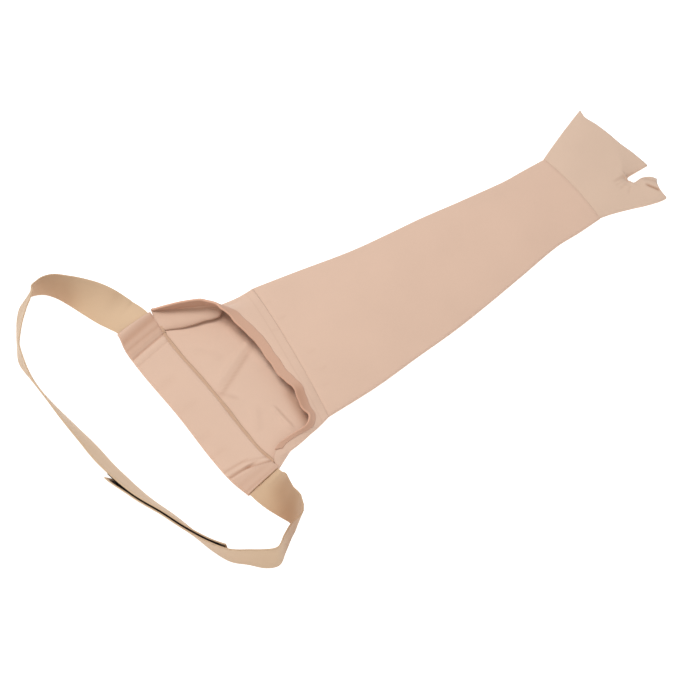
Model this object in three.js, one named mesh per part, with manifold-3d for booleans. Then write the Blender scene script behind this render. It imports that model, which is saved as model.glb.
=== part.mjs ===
// An arm compression sleeve lying on its back: hand gauntlet, arm tube, shoulder cap with a bound
// opening, and an elastic chest strap threaded through the hem of the cap.
// Millimetres. The origin is on the floor under the middle of the arm tube. +X runs along the arm to
// the hand, +Y away from the thumb's side, +Z up.

import * as THREE from 'three';
import { mergeVertices } from 'three/addons/utils/BufferGeometryUtils.js';
import Module from 'manifold-3d';

const { lerp, clamp, degToRad } = THREE.MathUtils;
const wasm = await Module();
wasm.setup();

// Cloth
const knitWall = 1.3;
const seatGap = 0.3;

// Arm tube, from the cap seam to the wrist seam
const armLength = 358;
const armTopWidth = 170;
const wristWidth = 95;
const armTopRise = 14;
const wristRise = 10;
const foldThickness = 3.6;
const capSeamSlant = 22;

// Hand gauntlet, from the wrist seam to the hand's opening
const gauntletLength = 75;
const handFlare = 31;
const thumbFlare = 20;
const fingerTipReach = 11;
const thumbTipReach = 6;
const crotchDepth = 20;
const notchWidth = 9.5;
const thumbSplit = 27;
const palmOverlap = 24;
const handRise = 9;
const thumbRise = 8.5;
const openingHollow = 5.5;
const thumbLift = 0.05;

// Shoulder cap, from the cap seam to the hem seam
const capLength = 88;
const rimHeight = 27;
const capWidth = 170;

// Binding round the cap's opening
const bindingWidth = 12;
const bindingThickness = 0.8;

// Elastic strap and the loop that it stands in
const strapWidth = 38;
const strapThickness = 1.4;
const loopReach = 100;
const loopHalfSpan = 200;
const overlapLength = 132;
const tapeThickness = 0.9;
const tapeMargin = 0.5;
const outerPeel = 3.6;
const outerPeelLength = 45;
const innerPeel = 0.5;
const innerPeelLength = 18;
const stackFade = 35;

// Hem casing round the strap
const casingSlack = 0.6;
const casingGap = 0.4;
const casingCrown = 0.8;
const casingFade = 28;
const capEdgeGap = 0.4;

// Overlocked seam ridge along the casing
const ridgeWidth = 3.4;
const ridgeHeight = 1.8;

// Fineness of the round shapes
const ringCount = 48;
const capFrontCount = 42;
const gauntletRing = 32;
const casingRing = 24;
const stationSteps = 3;

// Places that follow from the sizes
const capSeamX = -armLength / 2;
const wristX = armLength / 2;
const hemSeamX = capSeamX - capLength;
const casingEdge = casingSlack + knitWall;
const strapBaseX = hemSeamX - seatGap - casingEdge - strapWidth;
const casingMiddle = knitWall + casingGap + strapThickness / 2;

// A smooth value between the rows of a table
function readTable(rows, key, at, column) {
  let k = 0;
  while (k < rows.length - 2 && at > rows[k + 1][key]) k += 1;
  const before = rows[Math.max(k - 1, 0)];
  const from = rows[k];
  const to = rows[k + 1];
  const after = rows[Math.min(k + 2, rows.length - 1)];
  const span = to[key] - from[key];
  const share = (at - from[key]) / span;
  const slopeFrom = (to[column] - before[column]) / (to[key] - before[key]);
  const slopeTo = (after[column] - from[column]) / (after[key] - from[key]);
  const s2 = share * share;
  const s3 = s2 * share;
  return (2 * s3 - 3 * s2 + 1) * from[column] + (s3 - 2 * s2 + share) * span * slopeFrom
    + (3 * s2 - 2 * s3) * to[column] + (s3 - s2) * span * slopeTo;
}

function smooth(share) {
  const held = Math.min(Math.max(share, 0), 1);
  return held * held * (3 - 2 * held);
}

// Points and triangles to a geometry whose faces point out
function closedGeometry(points, triangles) {
  let volume = 0;
  for (const [a, b, c] of triangles) {
    volume += points[a].dot(new THREE.Vector3().crossVectors(points[b], points[c]));
  }
  const outward = volume < 0 ? triangles.map(([a, b, c]) => [a, c, b]) : triangles;
  const geometry = new THREE.BufferGeometry();
  const numbers = points.flatMap((p) => [p.x, p.y, p.z]);
  geometry.setAttribute('position', new THREE.Float32BufferAttribute(numbers, 3));
  geometry.setIndex(outward.flat());
  geometry.computeVertexNormals();
  return geometry;
}

// Two triangles of a four-sided patch, turned over where the skin faces the other way
function patch(a, b, c, d, turned) {
  return turned ? [[a, c, b], [b, c, d]] : [[a, b, c], [b, d, c]];
}

// Skin between rings of points that each close on themselves
function ringSkin(ringTotal, first, size, turned) {
  const triangles = [];
  for (let i = 0; i < ringTotal - 1; i += 1) {
    for (let j = 0; j < size; j += 1) {
      const a = first + i * size + j;
      const b = first + i * size + (j + 1) % size;
      triangles.push(...patch(a, b, a + size, b + size, turned));
    }
  }
  return triangles;
}

// A tube with a wall, from its outer rings, its inner rings and the two ring-shaped ends
function walledTube(outer, inner) {
  const size = outer[0].length;
  const start = outer.length * size;
  const points = [...outer.flat(), ...inner.flat()];
  const triangles = [
    ...ringSkin(outer.length, 0, size, false),
    ...ringSkin(outer.length, start, size, true),
  ];
  for (const [row, turned] of [[0, true], [outer.length - 1, false]]) {
    for (let j = 0; j < size; j += 1) {
      const a = row * size + j;
      const b = row * size + (j + 1) % size;
      triangles.push(...patch(a, b, start + a, start + b, turned));
    }
  }
  return closedGeometry(points, triangles);
}

// A solid swept through rings that share one flat outline, with both ends filled
function filledSweep(rings, outline) {
  const size = outline.length;
  const last = (rings.length - 1) * size;
  const triangles = ringSkin(rings.length, 0, size, false);
  const turned = THREE.ShapeUtils.isClockWise(outline);
  for (const [a, b, c] of THREE.ShapeUtils.triangulateShape(outline, [])) {
    triangles.push(turned ? [a, b, c] : [a, c, b]);
    triangles.push(turned ? [last + a, last + c, last + b] : [last + a, last + b, last + c]);
  }
  return closedGeometry(rings.flat(), triangles);
}

// Section of a flattened tube: flat back on the floor, rounded side folds, domed front.
// The place round it is a share of a turn: 0 at the far fold, 0.25 in the middle of the front.
function sectionPoint(round, half, fold, rise) {
  const angle = 2 * Math.PI * round;
  const across = Math.cos(angle);
  const radius = fold / 2;
  const fromFold = Math.min(half * (1 - Math.abs(across)), radius);
  const bend = Math.sqrt(radius * radius - (radius - fromFold) ** 2);
  const front = Math.sin(angle) > 0;
  const dome = front ? (rise - fold) * (1 - across * across) : 0;
  return { across, side: half * across, height: radius + (front ? bend : -bend) + dome };
}

// The same section, a depth further into the cloth
function insetSection(round, half, fold, rise, depth) {
  const point = sectionPoint(round, half - depth, fold - 2 * depth, rise - 2 * depth);
  return { ...point, height: point.height + depth };
}

function ringOf(count, makePoint) {
  return Array.from({ length: count }, (_, j) => makePoint(j / count));
}

// Arm tube. A spread of 1 is the half width at the cap seam, 0 the half width at the wrist.
const armRows = [
  { along: 0, farSpread: 0.97, nearSpread: 1, rise: 1 },
  { along: 0.16, farSpread: 0.73, nearSpread: 0.96, rise: 0.9 },
  { along: 0.3, farSpread: 0.5, nearSpread: 0.83, rise: 0.75 },
  { along: 0.44, farSpread: 0.37, nearSpread: 0.71, rise: 0.62 },
  { along: 0.57, farSpread: 0.28, nearSpread: 0.53, rise: 0.5 },
  { along: 0.7, farSpread: 0.14, nearSpread: 0.32, rise: 0.34 },
  { along: 0.84, farSpread: 0.01, nearSpread: 0.09, rise: 0.18 },
  { along: 0.92, farSpread: 0, nearSpread: 0.07, rise: 0.08 },
  { along: 1, farSpread: -0.01, nearSpread: 0.02, rise: 0 },
];
const armSteps = 12;

function armPoint(along, round, depth) {
  const spread = (armTopWidth - wristWidth) / 2;
  const far = wristWidth / 2 + spread * readTable(armRows, 'along', along, 'farSpread');
  const near = wristWidth / 2 + spread * readTable(armRows, 'along', along, 'nearSpread');
  const rise = wristRise + (armTopRise - wristRise) * readTable(armRows, 'along', along, 'rise');
  const point = insetSection(round, (far + near) / 2, foldThickness, rise, depth);
  const slant = capSeamSlant / 2 * point.across * (1 - along);
  const x = capSeamX + armLength * along + slant;
  return new THREE.Vector3(x, (far - near) / 2 + point.side, point.height);
}

function armSleeve() {
  const rows = Array.from({ length: armSteps + 1 }, (_, i) => i / armSteps);
  const outer = rows.map((along) => ringOf(ringCount, (round) => armPoint(along, round, 0)));
  const inner = rows.map((along) => ringOf(ringCount, (round) => armPoint(along, round, knitWall)));
  return walledTube(outer, inner);
}

// Hand gauntlet: the hand's tube and the thumb's tube run from the wrist, share the palm and part at
// the round notch. Hand rows: far is a share of the hand's flare, near runs from the notch's edge at
// 0 to the thumb's outer edge at 1. Thumb rows: far is a share of the overlap in the palm, near a
// share of the thumb's flare. The last row of each runs a little past the cloth, for the hollow.
const crotch = 1 - crotchDepth / gauntletLength;
const pastEnd = 1.04;
const beforeStart = 0.03;
const handRows = [
  { along: 0, far: 0, near: 1, rise: 0 },
  { along: 0.25, far: 0.27, near: 1, rise: 0.2 },
  { along: 0.49, far: 0.53, near: 0.94, rise: 0.5 },
  { along: crotch - 0.1, far: 0.7, near: 0.78, rise: 0.7 },
  { along: crotch - 0.04, far: 0.77, near: 0.5, rise: 0.75 },
  { along: crotch - 0.015, far: 0.8, near: 0.26, rise: 0.8 },
  { along: crotch + 0.01, far: 0.82, near: 0.08, rise: 0.82 },
  { along: crotch + 0.06, far: 0.86, near: 0, rise: 0.9 },
  { along: 0.9, far: 0.92, near: -0.02, rise: 0.95 },
  { along: 1, far: 1, near: 0, rise: 1 },
  { along: pastEnd, far: 1.03, near: 0, rise: 1 },
];
const thumbRows = [
  { along: 0.2, far: 1, near: 0.16, rise: 0.6 },
  { along: 0.49, far: 1, near: 0.53, rise: 0.8 },
  { along: crotch - 0.08, far: 0.84, near: 0.78, rise: 0.95 },
  { along: crotch - 0.015, far: 0.45, near: 0.86, rise: 1 },
  { along: crotch + 0.01, far: 0.14, near: 0.88, rise: 1 },
  { along: crotch + 0.06, far: 0, near: 0.92, rise: 1 },
  { along: 0.88, far: 0.02, near: 0.99, rise: 1 },
  { along: 0.97, far: -0.12, near: 1.01, rise: 1 },
  { along: 1, far: -0.3, near: 0.97, rise: 1 },
  { along: pastEnd, far: -0.34, near: 0.96, rise: 1 },
];
const handEdgeY = notchWidth / 2 - thumbSplit;
const thumbEdgeY = -notchWidth / 2 - thumbSplit;

function fromRows(rows, along, column) {
  return readTable(rows, 'along', along, column);
}

function thumbOuterEdge(along) {
  const [first] = thumbRows;
  const flare = along < first.along ? first.near * along / first.along : fromRows(thumbRows, along, 'near');
  return -wristWidth / 2 - thumbFlare * flare;
}

function openingReach(tipReach, towardsTip, across) {
  return tipReach * (1 + towardsTip * across) / 2 - openingHollow * (1 - across * across);
}

const handBranch = {
  rows: handRows,
  far: (along) => wristWidth / 2 + handFlare * fromRows(handRows, along, 'far'),
  near: (along) => lerp(handEdgeY, thumbOuterEdge(along), fromRows(handRows, along, 'near')),
  rise: (along) => lerp(wristRise, handRise, fromRows(handRows, along, 'rise')),
  reach: (across) => openingReach(fingerTipReach, -1, across),
  lift: 0,
};
const thumbBranch = {
  rows: thumbRows,
  far: (along) => thumbEdgeY + palmOverlap * fromRows(thumbRows, along, 'far'),
  near: thumbOuterEdge,
  rise: (along) => thumbRise * fromRows(thumbRows, along, 'rise'),
  reach: (across) => openingReach(thumbTipReach, 1, across),
  lift: thumbLift,
};

// An edge moved sideways into the cloth by the wall, also where it turns round the notch
function insetEdge(edge, along, depth, inward) {
  let best = -Infinity;
  for (const turn of [-1, -0.7, 0, 0.7, 1]) {
    const reach = depth * Math.sqrt(1 - turn * turn);
    best = Math.max(best, inward * edge(along + turn * depth / gauntletLength) + reach);
  }
  return inward * best;
}

function branchSolid(branch, depth, from, to) {
  const outline = branch.rows.map((row) => row.along).filter((along) => along > from && along < to);
  const places = [from, ...outline, to];
  const rings = places.map((along) => ringOf(gauntletRing, (round) => {
    const far = insetEdge(branch.far, along, depth, -1);
    const near = insetEdge(branch.near, along, depth, 1);
    const half = (far - near) / 2;
    const point = insetSection(round, half + depth, foldThickness, branch.rise(along), depth);
    const past = Math.max(along - crotch, 0) / (1 - crotch);
    const x = wristX + seatGap + gauntletLength * along + branch.reach(point.across) * past;
    return new THREE.Vector3(x, near + half + point.side, point.height + branch.lift);
  }));
  const outlineRing = rings[0].map((point) => new THREE.Vector2(point.y, point.z));
  return toManifold(filledSweep(rings, outlineRing));
}

function toManifold(geometry) {
  const bare = geometry.clone();
  bare.deleteAttribute('normal');
  const merged = mergeVertices(bare, 1e-5);
  return new wasm.Manifold(new wasm.Mesh({
    numProp: 3,
    vertProperties: new Float32Array(merged.attributes.position.array),
    triVerts: new Uint32Array(merged.index.array),
  }));
}

function fromManifold(solid) {
  const mesh = solid.getMesh();
  const geometry = new THREE.BufferGeometry();
  geometry.setAttribute('position', new THREE.Float32BufferAttribute(mesh.vertProperties, 3));
  geometry.setIndex(Array.from(mesh.triVerts));
  geometry.computeVertexNormals();
  return geometry;
}

function handGauntlet() {
  const thumbStart = thumbRows[0].along;
  const cloth = branchSolid(handBranch, 0, 0, 1).add(branchSolid(thumbBranch, 0, thumbStart, 1));
  const hollow = branchSolid(handBranch, knitWall, -beforeStart, pastEnd)
    .add(branchSolid(thumbBranch, knitWall, thumbStart + beforeStart, pastEnd));
  return fromManifold(cloth.subtract(hollow));
}

// The loop of the strap. Each row is a place of the strap's lower edge: reach is a share of the loop's
// reach beyond the hem, side a share of its half span, lean the angle from upright, outward positive.
// The first row is the casing's far end, and the rows after the one that holds its near end
// lie inside it.
const loopRows = [
  { reach: 0.013, side: 0.565, lean: 90 },
  { reach: 0.07, side: 0.615, lean: 90 },
  { reach: 0.125, side: 0.685, lean: 69 },
  { reach: 0.18, side: 0.78, lean: 38 },
  { reach: 0.24, side: 0.87, lean: 17 },
  { reach: 0.31, side: 0.95, lean: 4 },
  { reach: 0.39, side: 1, lean: -12 },
  { reach: 0.52, side: 1.025, lean: -22 },
  { reach: 0.65, side: 1, lean: -27 },
  { reach: 0.745, side: 0.95, lean: -27 },
  { reach: 0.83, side: 0.88, lean: -21 },
  { reach: 0.918, side: 0.795, lean: -14 },
  { reach: 0.995, side: 0.705, lean: -8 },
  { reach: 0.99, side: 0.59, lean: 4 },
  { reach: 0.972, side: 0.48, lean: 8 },
  { reach: 0.935, side: 0.35, lean: 15 },
  { reach: 0.89, side: 0.22, lean: 23 },
  { reach: 0.84, side: 0.07, lean: 28 },
  { reach: 0.8, side: -0.115, lean: 30 },
  { reach: 0.72, side: -0.305, lean: 28 },
  { reach: 0.62, side: -0.46, lean: 24 },
  { reach: 0.55, side: -0.593, lean: 20 },
  { reach: 0.495, side: -0.7, lean: 14 },
  { reach: 0.425, side: -0.787, lean: 9, holds: 'inner tip' },
  { reach: 0.32, side: -0.853, lean: 6 },
  { reach: 0.217, side: -0.92, lean: 0 },
  { reach: 0.097, side: -0.945, lean: 0 },
  { reach: -0.025, side: -0.905, lean: 1 },
  { reach: -0.15, side: -0.86, lean: 5 },
  { reach: -0.235, side: -0.83, lean: 13 },
  { reach: -0.23, side: -0.795, lean: 24 },
  { reach: -0.19, side: -0.74, lean: 32 },
  { reach: -0.135, side: -0.67, lean: 53 },
  { reach: -0.095, side: -0.61, lean: 80 },
  { reach: -0.075, side: -0.5625, lean: 90, holds: 'near end' },
  { reach: -0.025, side: -0.455, lean: 90 },
  { reach: 0, side: -0.3, lean: 90 },
  { reach: 0.01, side: 0, lean: 90 },
  { reach: 0.045, side: 0.3, lean: 90 },
  { reach: 0.045, side: 0.46, lean: 90 },
];

const loopCurve = new THREE.CatmullRomCurve3(
  loopRows.map((row) => new THREE.Vector3(strapBaseX - loopReach * row.reach, loopHalfSpan * row.side, 0)),
  true,
  'centripetal',
);

// Places round the loop, a few to each row, with the length walked from the casing's far end
function walkLoop() {
  const places = [];
  const total = loopRows.length * stationSteps;
  let length = 0;
  for (let i = 0; i <= total; i += 1) {
    const at = loopCurve.getPoint((i % total) / total);
    const way = loopCurve.getTangent((i % total) / total);
    const row = Math.floor(i / stationSteps);
    const from = loopRows[row % loopRows.length];
    const to = loopRows[(row + 1) % loopRows.length];
    const lean = lerp(from.lean, to.lean, smooth(i / stationSteps - row));
    if (i > 0) length += at.distanceTo(places[i - 1].at);
    places.push({ at, way, lean: degToRad(lean), length });
  }
  return places;
}

function placeOf(held) {
  return stationSteps * loopRows.findIndex((row) => row.holds === held);
}

const loopPlaces = walkLoop();
const innerTipPlace = placeOf('inner tip');
const nearEndPlace = placeOf('near end');
const innerTipLength = loopPlaces[innerTipPlace].length;
const outerTipPlace = loopPlaces.findIndex((place) => place.length > innerTipLength - overlapLength);
const outerTipLength = loopPlaces[outerTipPlace].length;
const nearEndLength = loopPlaces[nearEndPlace].length;

// Offsets from the strap's inner layer, outward: the two tapes and the outer layer
const loopTapeOffset = (strapThickness + tapeThickness) / 2 + seatGap;
const hookTapeOffset = loopTapeOffset + tapeThickness + seatGap;
const outerOffset = hookTapeOffset + (strapThickness + tapeThickness) / 2 + seatGap;

function innerPeelAt(length) {
  return innerPeel * smooth((length - innerTipLength + innerPeelLength) / innerPeelLength);
}

function outerPeelAt(length) {
  return outerPeel * smooth((outerTipLength + outerPeelLength - length) / outerPeelLength);
}

// How far out the outermost layer stands at a place, which also raises the stack where it leans
function outwardStack(length) {
  const before = smooth((length - outerTipLength + stackFade) / stackFade);
  const after = 1 - smooth((length - innerTipLength) / stackFade);
  return (outerOffset + outerPeelAt(length)) * Math.min(before, after);
}

// A point on the strap's section at a place: up its width, and outward from its inner layer
function strapPoint(place, up, outward) {
  const { at, way, lean, length } = place;
  const out = new THREE.Vector3(way.y, -way.x, 0).normalize();
  const rise = Math.cos(lean);
  const tilt = Math.sin(lean);
  const fromCasing = Math.min(length, Math.max(nearEndLength - length, 0));
  const lift = (casingMiddle - strapThickness / 2) * (1 - smooth(fromCasing / casingFade));
  const seat = Math.abs(tilt) * (strapThickness / 2 + outwardStack(length)) + lift;
  return at.clone()
    .addScaledVector(out, up * tilt + outward * rise)
    .add(new THREE.Vector3(0, 0, seat + up * rise - outward * tilt));
}

const stripOutline = [[0, -1], [1, -1], [1, 1], [0, 1]].map(([up, out]) => new THREE.Vector2(up, out));

// A flat strip along the loop, its thickness centred on an offset that may change along it
function stripAlongLoop(places, low, high, thickness, offset) {
  const rings = places.map((place) => stripOutline.map((corner) => strapPoint(
    place,
    lerp(low, high, corner.x),
    offset(place) + corner.y * thickness / 2,
  )));
  return filledSweep(rings, stripOutline);
}

function chestStrap() {
  const outerRun = loopPlaces.slice(outerTipPlace, -1).map((place) => ({ ...place, outerLayer: true }));
  const innerRun = loopPlaces.slice(0, innerTipPlace + 1).map((place) => ({ ...place, outerLayer: false }));
  const offset = ({ outerLayer, length }) => (outerLayer ? outwardStack(length) : -innerPeelAt(length));
  return stripAlongLoop([...outerRun, ...innerRun], 0, strapWidth, strapThickness, offset);
}

function closingTape(baseOffset, peel) {
  const places = loopPlaces.slice(outerTipPlace, innerTipPlace);
  const offset = ({ length }) => baseOffset + peel(length);
  return stripAlongLoop(places, tapeMargin, strapWidth - tapeMargin, tapeThickness, offset);
}

// Hem casing: a flattened tube round the strap, open at both ends
const casingPlaces = loopPlaces.slice(nearEndPlace);

function hemBand() {
  const half = strapWidth / 2 + casingEdge;
  const fold = 2 * casingMiddle;
  const makeRings = (depth) => casingPlaces.map((place) => ringOf(casingRing, (round) => {
    const point = insetSection(round, half, fold, fold + casingCrown, depth);
    return strapPoint(place, strapWidth / 2 + point.side, casingMiddle - point.height);
  }));
  return walledTube(makeRings(0), makeRings(knitWall));
}

// The line where the cap is sewn to the casing, at a place of the casing
function hemSeamPoint(place, beyond, height) {
  return strapPoint(place, strapWidth + casingEdge + beyond, 0).setZ(height);
}

// Shoulder cap. Each row is a rib of the cap at a place round the sleeve's section. Its rim point and
// its knee, towards which the rib bends, are given along the cap from the cap seam as a share of its
// length, sideways as a share of its half width, and up as a share of the rim's height.
const capRows = [
  { round: -0.035, rimAlong: 0.98, rimSide: 1.36, rimUp: 0.32, kneeAlong: 0.62, kneeSide: 1, kneeUp: 0.14 },
  { round: -0.01, rimAlong: 0.86, rimSide: 1.25, rimUp: 0.64, kneeAlong: 0.58, kneeSide: 0.95, kneeUp: 0.14 },
  { round: 0.02, rimAlong: 0.67, rimSide: 1.12, rimUp: 0.9, kneeAlong: 0.5, kneeSide: 0.9, kneeUp: 0.14 },
  { round: 0.05, rimAlong: 0.51, rimSide: 1, rimUp: 0.97, kneeAlong: 0.38, kneeSide: 0.87, kneeUp: 0.16 },
  { round: 0.08, rimAlong: 0.4, rimSide: 0.87, rimUp: 0.87, kneeAlong: 0.26, kneeSide: 0.82, kneeUp: 0.32 },
  { round: 0.12, rimAlong: 0.35, rimSide: 0.71, rimUp: 0.69, kneeAlong: 0.19, kneeSide: 0.71, kneeUp: 0.5 },
  { round: 0.17, rimAlong: 0.31, rimSide: 0.45, rimUp: 0.56, kneeAlong: 0.16, kneeSide: 0.45, kneeUp: 0.57 },
  { round: 0.22, rimAlong: 0.28, rimSide: 0.22, rimUp: 0.52, kneeAlong: 0.14, kneeSide: 0.21, kneeUp: 0.56 },
  { round: 0.27, rimAlong: 0.3, rimSide: -0.06, rimUp: 0.52, kneeAlong: 0.15, kneeSide: -0.08, kneeUp: 0.56 },
  { round: 0.32, rimAlong: 0.3, rimSide: -0.35, rimUp: 0.54, kneeAlong: 0.15, kneeSide: -0.36, kneeUp: 0.55 },
  { round: 0.37, rimAlong: 0.27, rimSide: -0.55, rimUp: 0.54, kneeAlong: 0.15, kneeSide: -0.57, kneeUp: 0.5 },
  { round: 0.41, rimAlong: 0.33, rimSide: -0.73, rimUp: 0.52, kneeAlong: 0.2, kneeSide: -0.73, kneeUp: 0.44 },
  { round: 0.445, rimAlong: 0.37, rimSide: -0.87, rimUp: 0.5, kneeAlong: 0.25, kneeSide: -0.9, kneeUp: 0.34 },
  { round: 0.47, rimAlong: 0.46, rimSide: -0.98, rimUp: 0.43, kneeAlong: 0.32, kneeSide: -1.05, kneeUp: 0.18 },
  { round: 0.5, rimAlong: 0.62, rimSide: -1, rimUp: 0.35, kneeAlong: 0.42, kneeSide: -1.1, kneeUp: 0.14 },
  { round: 0.53, rimAlong: 0.8, rimSide: -1.02, rimUp: 0.3, kneeAlong: 0.55, kneeSide: -1.14, kneeUp: 0.14 },
  { round: 0.56, rimAlong: 0.93, rimSide: -1.13, rimUp: 0.2, kneeAlong: 0.6, kneeSide: -1.15, kneeUp: 0.14 },
];
const nearCorner = 0.585;
const farCorner = 0.94;
const capSteps = 7;
const kneePull = 1.6;
const backReach = 0.97;
const capMiddle = knitWall / 2;

// The table closed round the back, where each rib ends at a place of the casing
function closeCapRows() {
  const backRows = casingPlaces.map((place, i) => {
    const seam = hemSeamPoint(place, capEdgeGap, capMiddle);
    const along = (capSeamX - seam.x) / capLength;
    const side = seam.y / (capWidth / 2);
    const up = capMiddle / rimHeight;
    return {
      round: lerp(nearCorner, farCorner, i / (casingPlaces.length - 1)),
      rimAlong: along, rimSide: side, rimUp: up,
      kneeAlong: along / 2, kneeSide: clamp(side, -backReach, backReach), kneeUp: up,
    };
  });
  const turnedBack = { ...backRows[backRows.length - 1], round: farCorner - 1 };
  return { rows: [turnedBack, ...capRows, ...backRows], backRounds: backRows.map((row) => row.round) };
}

const capTable = closeCapRows();
const frontRounds = Array.from(
  { length: capFrontCount },
  (_, j) => lerp(farCorner - 1, nearCorner, j / capFrontCount),
);
const capRounds = [...frontRounds, ...capTable.backRounds.slice(0, -1)];

function capPlace(round, name) {
  const turned = round - Math.floor(round);
  const within = turned > farCorner ? turned - 1 : turned;
  const read = (column) => readTable(capTable.rows, 'round', within, name + column);
  const height = Math.max(rimHeight * read('Up'), capMiddle);
  return new THREE.Vector3(capSeamX - capLength * read('Along'), capWidth / 2 * read('Side'), height);
}

// The middle of the cap's cloth, from the cap seam at 0 to its edge at 1, and straight on past it
function capMiddlePoint(round, along) {
  const start = armPoint(0, round, capMiddle);
  start.x -= seatGap;
  const knee = capPlace(round, 'knee');
  const rim = capPlace(round, 'rim');
  const t = Math.min(along, 1);
  const startShare = (1 - t) ** 2;
  const kneeShare = 2 * kneePull * t * (1 - t);
  const rimShare = t * t;
  const point = start.multiplyScalar(startShare)
    .addScaledVector(knee, kneeShare)
    .addScaledVector(rim, rimShare)
    .divideScalar(startShare + kneeShare + rimShare);
  return point.addScaledVector(rim.clone().sub(knee), 2 * kneePull * (along - t));
}

function capNormal(round, along) {
  const step = 0.01;
  const held = Math.min(along, 1);
  const inAlong = Math.max(held - step, 0);
  const forward = capMiddlePoint(round, inAlong + step).sub(capMiddlePoint(round, inAlong));
  const roundWay = capMiddlePoint(round + step, held).sub(capMiddlePoint(round - step, held));
  return new THREE.Vector3().crossVectors(roundWay, forward).normalize();
}

function capPoint(round, along, outward) {
  const point = capMiddlePoint(round, along).addScaledVector(capNormal(round, along), outward);
  point.z = Math.max(point.z, 0);
  return point;
}

// The place along a rib that lies a length back from its rim
function backFromRim(round, back) {
  const ribPull = 2 * kneePull * capPlace(round, 'rim').distanceTo(capPlace(round, 'knee'));
  return 1 - back / ribPull;
}

function shoulderCap() {
  const rows = Array.from({ length: capSteps }, (_, i) => i / (capSteps - 1));
  const rowPlaces = [
    ...rows.map((share) => (round) => share * backFromRim(round, bindingWidth)),
    (round) => backFromRim(round, bindingWidth / 2),
    () => 1,
  ];
  const ringsAt = (outward) => rowPlaces.map((place) => capRounds.map(
    (round) => capPoint(round, place(round), outward),
  ));
  return walledTube(ringsAt(knitWall / 2), ringsAt(-knitWall / 2));
}

// Binding: a folded strip that clasps the cap's rim from one hem corner round the front to the other
const bindingFrom = 2;
const bindingTo = 39;

function rimBinding() {
  const inside = knitWall / 2 + seatGap;
  const outside = inside + bindingThickness;
  const fold = seatGap + bindingThickness;
  const outline = [
    [bindingWidth, outside], [bindingWidth / 2, outside], [0, outside], [-fold, outside],
    [-fold, -outside], [0, -outside], [bindingWidth / 2, -outside], [bindingWidth, -outside],
    [bindingWidth, -inside], [bindingWidth / 2, -inside], [0, -inside], [-seatGap, -inside],
    [-seatGap, inside], [0, inside], [bindingWidth / 2, inside], [bindingWidth, inside],
  ].map(([back, out]) => new THREE.Vector2(back, out));
  const rings = frontRounds.slice(bindingFrom, bindingTo + 1).map((round) => outline.map(
    (corner) => capPoint(round, backFromRim(round, corner.x), corner.y),
  ));
  return filledSweep(rings, outline);
}

// Seam ridge on the cap's back, beside the casing
function hemSeam() {
  const half = ridgeWidth / 2;
  const outline = [[-half, 0], [half, 0], [half, 0.5], [half / 2, 1], [-half / 2, 1], [-half, 0.5]]
    .map(([side, up]) => new THREE.Vector2(side, up * ridgeHeight));
  const rings = casingPlaces.slice(1, -1).map((place) => outline.map(
    (corner) => hemSeamPoint(place, seatGap + half + corner.x, knitWall + seatGap + corner.y),
  ));
  return filledSweep(rings, outline);
}

function clothMaterial(color, roughness) {
  return new THREE.MeshStandardMaterial({ color, roughness, metalness: 0 });
}

const armKnit = clothMaterial(0xdfc0ab, 0.92);
const gauntletKnit = clothMaterial(0xd9bda8, 0.92);
const bindingKnit = clothMaterial(0xd4b39c, 0.9);
const strapElastic = clothMaterial(0xd2ae8a, 0.8);
const tapeNylon = clothMaterial(0x2a1a12, 0.7);

const pieces = [
  ['arm_sleeve', armSleeve(), armKnit],
  ['hand_gauntlet', handGauntlet(), gauntletKnit],
  ['shoulder_cap', shoulderCap(), armKnit],
  ['rim_binding', rimBinding(), bindingKnit],
  ['hem_band', hemBand(), armKnit],
  ['hem_seam', hemSeam(), bindingKnit],
  ['chest_strap', chestStrap(), strapElastic],
  ['loop_tape', closingTape(loopTapeOffset, (length) => -innerPeelAt(length)), tapeNylon],
  ['hook_tape', closingTape(hookTapeOffset, outerPeelAt), tapeNylon],
];

const sleeve = new THREE.Group();
for (const [name, geometry, material] of pieces) {
  const mesh = new THREE.Mesh(geometry, material);
  mesh.name = name;
  sleeve.add(mesh);
}

export default sleeve;
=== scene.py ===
# Arm compression sleeve lying on its back: gauntlet, arm tube, shoulder cap with a bound opening, and
# an elastic chest strap through the hem of the cap. Metres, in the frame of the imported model.

import math

import bmesh
import bpy
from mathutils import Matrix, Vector, noise


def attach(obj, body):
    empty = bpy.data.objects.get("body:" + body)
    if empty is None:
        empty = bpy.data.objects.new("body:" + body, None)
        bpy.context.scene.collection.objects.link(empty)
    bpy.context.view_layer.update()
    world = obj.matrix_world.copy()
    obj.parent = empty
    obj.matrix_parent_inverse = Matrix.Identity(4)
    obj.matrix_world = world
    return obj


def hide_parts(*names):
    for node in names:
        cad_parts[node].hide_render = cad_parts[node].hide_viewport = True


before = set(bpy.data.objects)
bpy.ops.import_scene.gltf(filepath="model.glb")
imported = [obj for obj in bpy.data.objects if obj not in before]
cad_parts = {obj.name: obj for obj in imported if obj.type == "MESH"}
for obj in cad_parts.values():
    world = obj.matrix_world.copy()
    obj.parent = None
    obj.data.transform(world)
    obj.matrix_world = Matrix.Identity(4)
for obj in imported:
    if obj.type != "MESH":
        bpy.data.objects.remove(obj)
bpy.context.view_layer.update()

# Camera. It looks at the sleeve as the photograph does, from well above and from the thumb's side,
# through a long lens whose frame is as wide as the photograph.
MM = 0.001
CAMERA_AZIMUTH = math.radians(-34.68)
CAMERA_ELEVATION = math.radians(57)
CAMERA_DISTANCE = 1800 * MM
CAMERA_TARGET = Vector((-129.4, -16.8, 0)) * MM
CAMERA_LENS = 95.3


def direction(azimuth, elevation):
    """The way from the sleeve to a camera or lamp, for angles in radians."""
    level = math.cos(elevation)
    return Vector((math.sin(azimuth) * level, -math.cos(azimuth) * level, math.sin(elevation)))


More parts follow.
